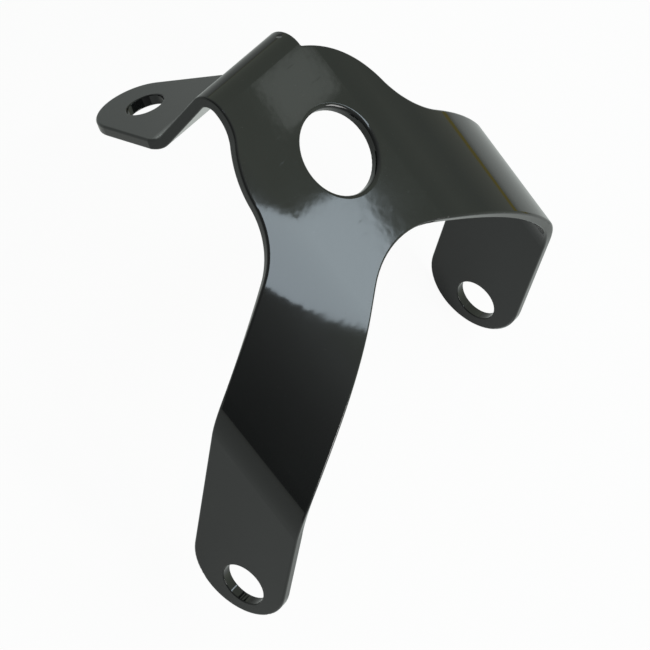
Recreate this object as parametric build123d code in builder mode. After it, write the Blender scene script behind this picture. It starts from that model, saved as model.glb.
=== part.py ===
import os
from math import cos, degrees, hypot, radians, sin, sqrt, tan

from build123d import *

# Driving dimensions, in millimetres and degrees
sheet = 2.2
hub_bore_d = 16.5
ear_bore_d = 9.0
tab_bore_d = 7.4
hub_disc_r = 20.9
hub_disc_x = -1.6
edge_round = 0.45
bore_lip = 0.8
bore_break = 0.25

# Fold profile: flat hub, long bow on each side, knee, wall with a slight flare
flat_beyond = 1.3
flat_right = 9.8
bow_r_left = 31.6
bow_r_right = 44.7
bow_left = 52.0
bow_right = 43.3
knee_r = 11.3
flare_left = 0.9
flare_right = 2.8

# Leg edges on the flat blank: height at the fold line and fall per millimetre outward
left_low_y = -49.4
left_low_fall = 0.655
left_top_y = -24.6
left_top_fall = 0.676
right_low_y = -44.1
right_low_fall = 0.521
right_top_y = -19.9
right_top_fall = 0.526

# Ear ends: reach of the end round below the fold line, and the bore set off from its centre
left_end_reach = 20.1
right_end_reach = 25.0
left_bore_along = 2.8
right_bore_along = 3.4
ear_bore_across = -1.4

# Blank fillets
notch_round = 20.2
shoulder_round = 16.7
root_round_left = 8.5
root_round_right = 0.5

# Top arm and its tab
top_x = -4.15
top_half = 11.75
root_rise = 0.5
top_bend_r = 3.1
top_turn = 99.1
top_wall = 14.3
set_bend_r = 6.0
set_turn = 33.7
tab_bore_reach = 11.4
tab_end_r = 8.4
tab_end_set = 1.8
tab_shoulder = 0.8

half = sheet / 2
span = 400.0


def leg_fold(flat, bow_r, bow_deg, flare_deg):
    # Fold geometry of one side, with distances measured outward from the bore axis
    bow = radians(bow_deg)
    stop = radians(90 - flare_deg)
    knee_x = flat + (bow_r - knee_r) * sin(bow)
    knee_z = -bow_r + (bow_r - knee_r) * cos(bow)
    u_bow = flat + bow_r * bow
    u_wall = u_bow + knee_r * (stop - bow)
    return {
        "flat": flat,
        "bow_r": bow_r,
        "bow": bow,
        "stop": stop,
        "knee_x": knee_x,
        "knee_z": knee_z,
        "u_bow": u_bow,
        "u_wall": u_wall,
        "wall_x": knee_x + knee_r * sin(stop),
        "wall_z": knee_z + knee_r * cos(stop),
    }


def leg_outline(side, fold, low_y, low_fall, top_y, top_fall, reach, along):
    # One leg on the blank, ending in a round tangent to both of its edges
    u = fold["u_wall"] + reach
    low_n = hypot(1, low_fall)
    top_n = hypot(1, top_fall)
    low_here = low_y - low_fall * reach
    top_here = top_y - top_fall * reach
    y = (low_here / low_n + top_here / top_n) / (1 / low_n + 1 / top_n)
    r = (y - low_here) / low_n
    fall = (low_fall + top_fall) / 2
    n = hypot(1, fall)
    # Height of each edge line on the bore axis, and where the upper one leaves the hub disc
    low_axis = low_y + low_fall * fold["u_wall"]
    top_axis = top_y + top_fall * fold["u_wall"]
    c = side * hub_disc_x
    b = c + top_axis * top_fall
    u_hub = (b + sqrt(b * b - top_n**2 * (c * c + top_axis**2 - hub_disc_r**2))) / top_n**2
    return {
        "low_axis": low_axis,
        "low_foot": (side * (u - r * low_fall / low_n), y - r / low_n),
        "tip": (side * (u + r / n), y - r * fall / n),
        "top_foot": (side * (u + r * top_fall / top_n), y + r / top_n),
        "shoulder": (side * u_hub, top_axis - top_fall * u_hub),
        "root": (side * u_hub / 2, top_axis - top_fall * u_hub / 2),
        "bore": (
            side * (u + (along + ear_bore_across * fall) / n),
            y + (ear_bore_across - along * fall) / n,
        ),
    }


flat_left = top_half - top_x + flat_beyond
left = leg_fold(flat_left, bow_r_left, bow_left, flare_left)
right = leg_fold(flat_right, bow_r_right, bow_right, flare_right)
leg_l = leg_outline(
    -1, left, left_low_y, left_low_fall, left_top_y, left_top_fall, left_end_reach, left_bore_along
)
leg_r = leg_outline(
    1, right, right_low_y, right_low_fall, right_top_y, right_top_fall, right_end_reach, right_bore_along
)

# The two lower leg edges meet at the notch under the hub
notch_x = (leg_r["low_axis"] - leg_l["low_axis"]) / (left_low_fall + right_low_fall)
notch = (notch_x, leg_l["low_axis"] + left_low_fall * notch_x)
notch_l = (-1.3 * hub_disc_r, leg_l["low_axis"] - left_low_fall * 1.3 * hub_disc_r)
notch_r = (1.3 * hub_disc_r, leg_r["low_axis"] - right_low_fall * 1.3 * hub_disc_r)
root_l = top_x - top_half
root_r = top_x + top_half

# The top bend starts a little beyond the corner where the arm leaves the hub disc
top_start_y = sqrt(hub_disc_r**2 - (root_r - hub_disc_x) ** 2) + root_rise


def root_fillet(x, radius):
    # Corner of the hub disc and one side of the arm, and its fillet, which ends below the top bend
    away = abs(x - hub_disc_x)
    y = sqrt(hub_disc_r**2 - away**2)
    room = (top_start_y - root_rise / 4) ** 2 - y**2
    return ((x, y), min(radius, room / (2 * (hub_disc_r - away))))



# Flat blank: hub disc, two legs, root of the top arm, three punched holes
with BuildSketch() as blank:
    with Locations((hub_disc_x, 0)):
        Circle(hub_disc_r)
    with BuildLine():
        Polyline(notch, notch_r, (notch_r[0], -span), (notch_l[0], -span), notch_l, close=True)
    make_face(mode=Mode.SUBTRACT)
    for leg in (leg_l, leg_r):
        with BuildLine():
            Line(notch, leg["low_foot"])
            ThreePointArc(leg["low_foot"], leg["tip"], leg["top_foot"])
            Line(leg["top_foot"], leg["root"])
            Line(leg["root"], notch)
        make_face()
    with Locations((top_x, top_start_y)):
        Rectangle(2 * top_half, 2 * top_start_y)
    corners = [
        (notch, notch_round),
        (leg_l["shoulder"], shoulder_round),
        (leg_r["shoulder"], shoulder_round),
        root_fillet(root_l, root_round_left),
        root_fillet(root_r, root_round_right),
    ]
    for spot, radius in corners:
        fillet(blank.vertices().sort_by_distance(spot)[0], radius)
    with Locations((0, top_start_y + span / 2)):
        Rectangle(span, span, mode=Mode.SUBTRACT)
    Circle(hub_bore_d / 2, mode=Mode.SUBTRACT)
    with Locations(leg_l["bore"], leg_r["bore"]):
        Circle(ear_bore_d / 2, mode=Mode.SUBTRACT)


def zone(u_from, u_to):
    # The part of the blank between two fold lines
    with BuildSketch() as cut:
        add(blank.sketch)
        with Locations(((u_from + u_to) / 2, 0)):
            Rectangle(u_to - u_from, span, mode=Mode.INTERSECT)
    return cut.sketch


def fold_plane(side, x, z, angle, away):
    # Plane tangent to the sheet at a fold angle, a distance away from the fold axis
    spot = (side * (x + away * sin(angle)), 0, z + away * cos(angle))
    run = (cos(angle), 0, -side * sin(angle))
    return Plane(origin=spot, x_dir=run, z_dir=(side * sin(angle), 0, cos(angle)))


def rolled(side, x, z, radius, a_from, a_to, u_from):
    # One bent zone: a rolled band trimmed by the blank outline carried round the fold axis
    u_to = u_from + radius * (a_to - a_from)
    flat = zone(u_from, u_to) if side > 0 else zone(-u_to, -u_from)
    a_mid = (a_from + a_to) / 2
    spare = radians(5)
    near = (radius - half) * cos((a_to - a_from) / 2 + spare) - half / 4
    far = radius + half * 5 / 4
    start = 90 - degrees(a_to + spare)
    size = degrees(a_to - a_from + 2 * spare)
    if side < 0:
        start = 180 - start - size
    with BuildPart() as bent:
        with BuildSketch(Plane.XZ):
            with BuildLine():
                outer = CenterArc((side * x, z), radius + half, start, size)
                inner = CenterArc((side * x, z), radius - half, start, size)
                Line(outer @ 0, inner @ 0)
                Line(outer @ 1, inner @ 1)
            make_face()
        extrude(amount=span, both=True)
        trims = []
        for away in (near, far):
            with BuildSketch(fold_plane(side, x, z, a_mid, away)) as trim:
                with BuildLine():
                    for edge in flat.faces()[0].outer_wire().edges():
                        points = []
                        for i in range(9):
                            spot = edge @ (i / 8)
                            a = a_from + (side * spot.X - u_from) / radius
                            points.append((side * away * tan(a - a_mid), spot.Y))
                        if abs((edge @ 0).X - (edge @ 1).X) < 1e-4:
                            Line(points[0], points[-1])
                        else:
                            Spline(*points)
                make_face()
            trims.append(trim.sketch)
        loft(sections=trims, ruled=True, mode=Mode.INTERSECT)
    return bent.part


def wall(side, fold):
    # The flat ear below the knee
    far = fold["u_wall"] + span / 2
    flat = zone(fold["u_wall"], far) if side > 0 else zone(-far, -fold["u_wall"])
    with BuildPart() as ear:
        with BuildSketch(fold_plane(side, fold["wall_x"], fold["wall_z"], fold["stop"], 0)):
            add(flat.moved(Location((-side * fold["u_wall"], 0, 0))))
        extrude(amount=half, both=True)
    return ear.part


# Top arm: tight bend down, wall leaning in, set bend out to the tab
with BuildPart() as top_arm:
    with BuildSketch(Plane.YZ.offset(root_l)):
        with BuildLine():
            ends = []
            for way in (1, -1):
                bend = JernArc((top_start_y, way * half), (1, 0), top_bend_r + way * half, -top_turn)
                face_end = bend @ 1 + (bend % 1) * top_wall
                Line(bend @ 1, face_end)
                ends.append(JernArc(face_end, bend % 1, set_bend_r - way * half, set_turn))
            Line((top_start_y, half), (top_start_y, -half))
            Line(ends[0] @ 1, ends[1] @ 1)
        make_face()
    extrude(amount=2 * top_half)

# Tab: tapered, with a round end tangent to both sides
tab_start = (ends[0] @ 1 + ends[1] @ 1) / 2
tab_tilt = radians(top_turn - set_turn)
tab_plane = Plane(
    origin=(top_x, tab_start.X, tab_start.Y),
    x_dir=(1, 0, 0),
    z_dir=(0, sin(tab_tilt), cos(tab_tilt)),
)
with BuildPart() as tab:
    with BuildSketch(tab_plane):
        with Locations((0, tab_bore_reach + tab_end_set)):
            Circle(tab_end_r)
        with Locations((0, tab_shoulder / 2)):
            Rectangle(2 * top_half, tab_shoulder)
        make_hull()
        with Locations((0, tab_bore_reach)):
            Circle(tab_bore_d / 2, mode=Mode.SUBTRACT)
    extrude(amount=half, both=True)

# Whole bracket: flat hub, rolled bows and knees, ears, top arm and tab as one sheet
with BuildPart() as bracket:
    with BuildSketch(Plane.XY.offset(-half)):
        add(zone(-flat_left, flat_right))
    extrude(amount=sheet)
    for side, fold in ((-1, left), (1, right)):
        add(rolled(side, fold["flat"], -fold["bow_r"], fold["bow_r"], 0, fold["bow"], fold["flat"]))
        add(rolled(side, fold["knee_x"], fold["knee_z"], knee_r, fold["bow"], fold["stop"], fold["u_bow"]))
        add(wall(side, fold))
    add(top_arm.part)
    add(tab.part)

    # Rounded sheet edges, a rolled rim on the front of the hub bore, broken edges on every other bore
    fillet(bracket.edges().filter_by(lambda e: not e.is_closed), min(edge_round, 0.4 * sheet))
    rings = bracket.edges().filter_by(GeomType.CIRCLE).filter_by(lambda e: e.is_closed)
    lip = rings.filter_by(lambda e: abs(e.radius - hub_bore_d / 2) < 1e-6).sort_by(Axis.Z)[-1]
    others = rings.filter_by(lambda e: e is not lip)
    fillet(others, min(bore_break, 0.2 * sheet))
    rings = bracket.edges().filter_by(GeomType.CIRCLE).filter_by(lambda e: e.is_closed)
    lip = rings.filter_by(lambda e: abs(e.radius - hub_bore_d / 2) < 1e-6).sort_by(Axis.Z)[-1]
    fillet(lip, min(bore_lip, 0.5 * sheet))

bracket.part.label = "bracket"
os.makedirs("parts", exist_ok=True)
export_step(bracket.part, "parts/bracket.step")
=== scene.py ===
from math import radians

import bpy
from mathutils import Euler, Matrix, Vector


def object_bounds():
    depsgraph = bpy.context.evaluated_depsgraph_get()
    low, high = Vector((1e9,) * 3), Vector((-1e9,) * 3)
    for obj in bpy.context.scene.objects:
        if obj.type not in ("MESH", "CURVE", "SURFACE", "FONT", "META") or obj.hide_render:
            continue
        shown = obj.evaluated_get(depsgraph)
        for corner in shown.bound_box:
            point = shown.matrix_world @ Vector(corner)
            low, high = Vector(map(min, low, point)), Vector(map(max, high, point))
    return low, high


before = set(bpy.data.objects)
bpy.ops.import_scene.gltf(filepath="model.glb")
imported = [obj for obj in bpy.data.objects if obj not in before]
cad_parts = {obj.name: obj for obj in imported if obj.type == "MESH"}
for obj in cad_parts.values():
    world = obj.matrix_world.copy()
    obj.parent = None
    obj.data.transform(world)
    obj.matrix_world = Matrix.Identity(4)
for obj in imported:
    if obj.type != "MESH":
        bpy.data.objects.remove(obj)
cad_lo, cad_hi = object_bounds()
scene = bpy.context.scene
scene.view_settings.view_transform = "Standard"

# Camera fitted to the photograph, in pixels, millimetres of sensor, metres and degrees
FOCAL_PX = 3000
FRAME_PX = 650
SENSOR_MM = 36.0
CAMERA_AT = (-0.3377753, 0.0576244, 0.4129979)
CAMERA_TURN = (18.9461, -33.5135, -46.0268)
NEAR_CLIP = 0.01
FAR_CLIP = 20.0

# Film of enamel: the noise levels at which it is thin and thick, with its tone and roughness at each
FILM_RANGE = (0.3, 0.7)
FILM_TONES = ((0.0058, 0.0066, 0.0064, 1), (0.0080, 0.0090, 0.0086, 1))
FILM_ROUGHNESS = (0.03, 0.06)

# Lacquer: its index of refraction and the height of its ripples in metres
LACQUER_IOR = 1.46
RIPPLE_HEIGHT = 0.0003

# Dust and scuffs: the levels of their patterns at which each begins and is full, and what it changes to
DUST_RANGE = (0.055, 0.035)
DUST_TONE = (0.045, 0.047, 0.046, 1)
SCUFF_RANGE = (0.66, 0.74)
SCUFF_PATCHES = (0.50, 0.62)
SCUFF_ROUGHNESS = 0.17

# Pit on the crest of the top fold, in metres: its place in the object's frame and its form
NICK = (0.0059, 0.0225, -0.0004)
NICK_BOTTOM = 0.00015
NICK_SLOPE = 0.00045
NICK_DEPTH = 0.00025

# Floor: half its width, its gap under the part, its tone, and the share of white that each kind of ray sees
FLOOR_REACH = 3.0
FLOOR_GAP = 0.0005
FLOOR_TONE = (0.66, 0.67, 0.66, 1)
WHITE_TO_EYE = 0.94
WHITE_TO_GLOSS = 0.06

# Tone of the room, from 0 at -X to 1 at +X
ROOM_STOPS = (
    (0.0, (0.13, 0.135, 0.135, 1)),
    (0.10, (0.20, 0.205, 0.205, 1)),
    (0.22, (0.28, 0.285, 0.285, 1)),
    (0.36, (0.41, 0.425, 0.42, 1)),
    (0.50, (0.58, 0.61, 0.60, 1)),
    (0.80, (0.75, 0.83, 0.70, 1)),
    (0.84, (0.62, 0.69, 0.59, 1)),
    (0.90, (0.62, 0.68, 0.58, 1)),
    (0.96, (0.42, 0.46, 0.40, 1)),
    (1.0, (0.42, 0.44, 0.37, 1)),
)

# Warm skirting at the horizon: where it begins and is full along X, its half height, soft edge and tone
SKIRTING_RANGE = (0.5, 0.8)
SKIRTING_HALF = 0.02
SKIRTING_EDGE = 0.02
SKIRTING_TONE = (0.50, 0.41, 0.08, 1)

# Sockets of a Mix node by kind: first value, second value and result
MIX_SOCKETS = {"FLOAT": (2, 3, 0), "RGBA": (6, 7, 2)}

# Directions in the object's frame
DOWN = (0, 0, -1)
ALONG_X = (1, 0, 0)


# A new node with the given sockets set
def node(tree, kind, **sockets):
    made = tree.nodes.new(kind)
    for name, value in sockets.items():
        made.inputs[name.replace("_", " ")].default_value = value
    return made


# The value rescaled from one range to another and held at its ends
def rescaled(tree, value, old, new=(0.0, 1.0)):
    made = node(tree, "ShaderNodeMapRange", From_Min=old[0], From_Max=old[1], To_Min=new[0], To_Max=new[1])
    tree.links.new(value, made.inputs["Value"])
    return made.outputs["Result"]


# The result of one operation on up to three values, each a socket or a plain number
def calculated(tree, operation, *values):
    made = tree.nodes.new("ShaderNodeMath")
    made.operation = operation
    for socket, value in zip(made.inputs, values):
        if isinstance(value, float):
            socket.default_value = value
        else:
            tree.links.new(value, socket)
    return made.outputs[0]


# One where the value lies within a half-width of zero, falling off over the given softness
def within(tree, value, half, soft):
    return rescaled(tree, calculated(tree, "ABSOLUTE", value), (half + soft, half))


# The value mixed by a factor towards a fixed one
def mixed(tree, kind, factor, value, towards):
    made = tree.nodes.new("ShaderNodeMix")
    made.data_type = kind
    first, second, result = MIX_SOCKETS[kind]
    made.inputs[second].default_value = towards
    tree.links.new(factor, made.inputs[0])
    tree.links.new(value, made.inputs[first])
    return made.outputs[result]


# A colour ramp over the value: a new one has two stops, which become the first and the last
def ramp(tree, value, stops):
    made = tree.nodes.new("ShaderNodeValToRGB")
    elements = made.color_ramp.elements
    for end in (0, -1):
        elements[end].position, elements[end].color = stops[end]
    for position, colour in stops[1:-1]:
        elements.new(position).color = colour
    tree.links.new(value, made.inputs["Fac"])
    return made.outputs["Color"]


# Noise over the given coordinates
def noise(tree, where, scale, detail, roughness):
    made = node(tree, "ShaderNodeTexNoise", Scale=scale, Detail=detail, Roughness=roughness)
    tree.links.new(where, made.inputs["Vector"])
    return made.outputs["Fac"]


# The normal of a height, raised or sunk, on top of another normal where one is given
def bump(tree, height, strength, distance, under=None, sunk=False):
    made = node(tree, "ShaderNodeBump", Strength=strength, Distance=distance)
    made.invert = sunk
    tree.links.new(height, made.inputs["Height"])
    if under is not None:
        tree.links.new(under, made.inputs["Normal"])
    return made.outputs["Normal"]


# Gloss black enamel over steel: uneven film, dust, scuffs, ripple of the lacquer and one pit
def enamel():
    mat = bpy.data.materials.new("enamel")
    mat.use_nodes = True
    tree = mat.node_tree
    link = tree.links.new
    shader = tree.nodes["Principled BSDF"]
    shader.inputs["IOR"].default_value = LACQUER_IOR
    here = tree.nodes.new("ShaderNodeTexCoord").outputs["Object"]

    # Film: broad, barely visible change of tone and gloss
    film = noise(tree, here, scale=45.0, detail=3.0, roughness=0.55)
    tone = ramp(tree, film, tuple(zip(FILM_RANGE, FILM_TONES)))
    gloss = rescaled(tree, film, FILM_RANGE, FILM_ROUGHNESS)

    # Dust: sparse pale specks about a tenth of a millimetre across
    dust = node(tree, "ShaderNodeTexVoronoi", Scale=900.0)
    link(here, dust.inputs["Vector"])
    speck = rescaled(tree, dust.outputs["Distance"], DUST_RANGE)
    link(mixed(tree, "RGBA", speck, tone, DUST_TONE), shader.inputs["Base Color"])

    # Scuffs: short hairline marks of handling, in patches
    lie = node(tree, "ShaderNodeMapping", Rotation=(0.2, 0.1, 0.5), Scale=(260.0, 1500.0, 700.0))
    link(here, lie.inputs["Vector"])
    hair = noise(tree, lie.outputs["Vector"], scale=1.0, detail=2.0, roughness=0.5)
    line = rescaled(tree, hair, SCUFF_RANGE)
    patch = rescaled(tree, film, SCUFF_PATCHES)
    scuff = calculated(tree, "MULTIPLY", line, patch)
    link(mixed(tree, "FLOAT", scuff, gloss, SCUFF_ROUGHNESS), shader.inputs["Roughness"])

    # Sag: slow waves where the lacquer ran before it set
    sag = noise(tree, here, scale=40.0, detail=1.0, roughness=0.4)
    wave = bump(tree, sag, strength=0.045, distance=RIPPLE_HEIGHT)

    # Orange peel: shallow ripple of the lacquer, about two millimetres from crest to crest
    peel = noise(tree, here, scale=420.0, detail=1.5, roughness=0.4)
    ripple = bump(tree, peel, strength=0.012, distance=RIPPLE_HEIGHT, under=wave)

    # Nick: one small pit in the lacquer on the crest of the top fold
    near = tree.nodes.new("ShaderNodeVectorMath")
    near.operation = "DISTANCE"
    near.inputs[1].default_value = NICK
    link(here, near.inputs[0])
    hollow = within(tree, near.outputs["Value"], NICK_BOTTOM, NICK_SLOPE)
    pit = bump(tree, hollow, strength=1.0, distance=NICK_DEPTH, under=ripple, sunk=True)
    link(pit, shader.inputs["Normal"])
    return mat


# Plain pale floor: white to the eye, pale grey in the enamel, with a soft shadow kept
def floor_material():
    mat = bpy.data.materials.new("floor")
    mat.use_nodes = True
    tree = mat.node_tree
    link = tree.links.new
    tree.nodes.remove(tree.nodes["Principled BSDF"])
    matte = node(tree, "ShaderNodeBsdfDiffuse", Color=FLOOR_TONE)
    white = node(tree, "ShaderNodeEmission", Color=(1, 1, 1, 1), Strength=1.0)
    ray = tree.nodes.new("ShaderNodeLightPath").outputs
    direct = calculated(tree, "MAXIMUM", ray["Is Camera Ray"], ray["Is Transmission Ray"])
    most = calculated(tree, "MULTIPLY", direct, WHITE_TO_EYE)
    share = calculated(tree, "MULTIPLY_ADD", ray["Is Glossy Ray"], WHITE_TO_GLOSS, most)
    seen = tree.nodes.new("ShaderNodeMixShader")
    link(share, seen.inputs["Fac"])
    link(matte.outputs[0], seen.inputs[1])
    link(white.outputs[0], seen.inputs[2])
    link(seen.outputs[0], tree.nodes["Material Output"].inputs["Surface"])
    return mat


# Soft room: brightest on the +X side with a warm skirting there, dim on the -X side
def room():
    world = bpy.data.worlds.new("room")
    world.use_nodes = True
    tree = world.node_tree
    way = tree.nodes.new("ShaderNodeTexCoord")
    split = tree.nodes.new("ShaderNodeSeparateXYZ")
    tree.links.new(way.outputs["Generated"], split.inputs["Vector"])
    across, height = split.outputs["X"], split.outputs["Z"]
    dome = ramp(tree, rescaled(tree, across, (-1.0, 1.0)), ROOM_STOPS)
    side = rescaled(tree, across, SKIRTING_RANGE)
    level = within(tree, height, SKIRTING_HALF, SKIRTING_EDGE)
    band = calculated(tree, "MULTIPLY", side, level)
    warm = mixed(tree, "RGBA", band, dome, SKIRTING_TONE)
    tree.links.new(warm, tree.nodes["Background"].inputs["Color"])
    return world


# Rectangular lamp that shines in the direction of its face, with its width laid along the given side
def soft_box(name, spot, face, along, wide, deep, watts, colour):
    data = bpy.data.lights.new(name, "AREA")
    data.shape = "RECTANGLE"
    data.size = wide
    data.size_y = deep
    data.energy = watts
    data.color = colour
    lamp = bpy.data.objects.new(name, data)
    out = -Vector(face).normalized()
    side = Vector(along)
    side = (side - side.dot(out) * out).normalized()
    turn = Matrix((side, out.cross(side), out)).transposed().to_4x4()
    lamp.matrix_world = Matrix.Translation(spot) @ turn
    scene.collection.objects.link(lamp)


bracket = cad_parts["bracket"]
bracket.data.materials.clear()
bracket.data.materials.append(enamel())

low = cad_lo.z - FLOOR_GAP
corners = ((-1, -1), (1, -1), (1, 1), (-1, 1))
mesh = bpy.data.meshes.new("floor")
mesh.from_pydata([(x * FLOOR_REACH, y * FLOOR_REACH, low) for x, y in corners], [], [(0, 1, 2, 3)])
mesh.materials.append(floor_material())
floor = bpy.data.objects.new("floor", mesh)
scene.collection.objects.link(floor)

scene.world = room()

# Soft boxes: a strip over the near leg, a faint one beside it and a large one for the floor
soft_box(
    "strip",
    spot=(0.165, -0.090, 0.60),
    face=DOWN,
    along=(0.9932, -0.1167, 0),
    wide=0.642,
    deep=0.061,
    watts=0.87,
    colour=(0.77, 0.90, 1.0),
)
soft_box(
    "beside",
    spot=(0.494, -0.050, 0.60),
    face=DOWN,
    along=ALONG_X,
    wide=0.038,
    deep=0.026,
    watts=0.0030,
    colour=(0.93, 1.0, 0.97),
)
soft_box(
    "window",
    spot=(0.05, -1.2, 0.85),
    face=(-0.05, 1.2, -0.85),
    along=ALONG_X,
    wide=0.7,
    deep=0.7,
    watts=13.0,
    colour=(1.0, 1.0, 0.98),
)

# Camera at the photograph's viewing angle
lens = bpy.data.cameras.new("camera")
lens.sensor_width = SENSOR_MM
lens.lens = FOCAL_PX / FRAME_PX * SENSOR_MM
lens.clip_start = NEAR_CLIP
lens.clip_end = FAR_CLIP
camera = bpy.data.objects.new("camera", lens)
turn = Euler([radians(angle) for angle in CAMERA_TURN])
camera.matrix_world = Matrix.LocRotScale(Vector(CAMERA_AT), turn, None)
scene.collection.objects.link(camera)
scene.camera = camera
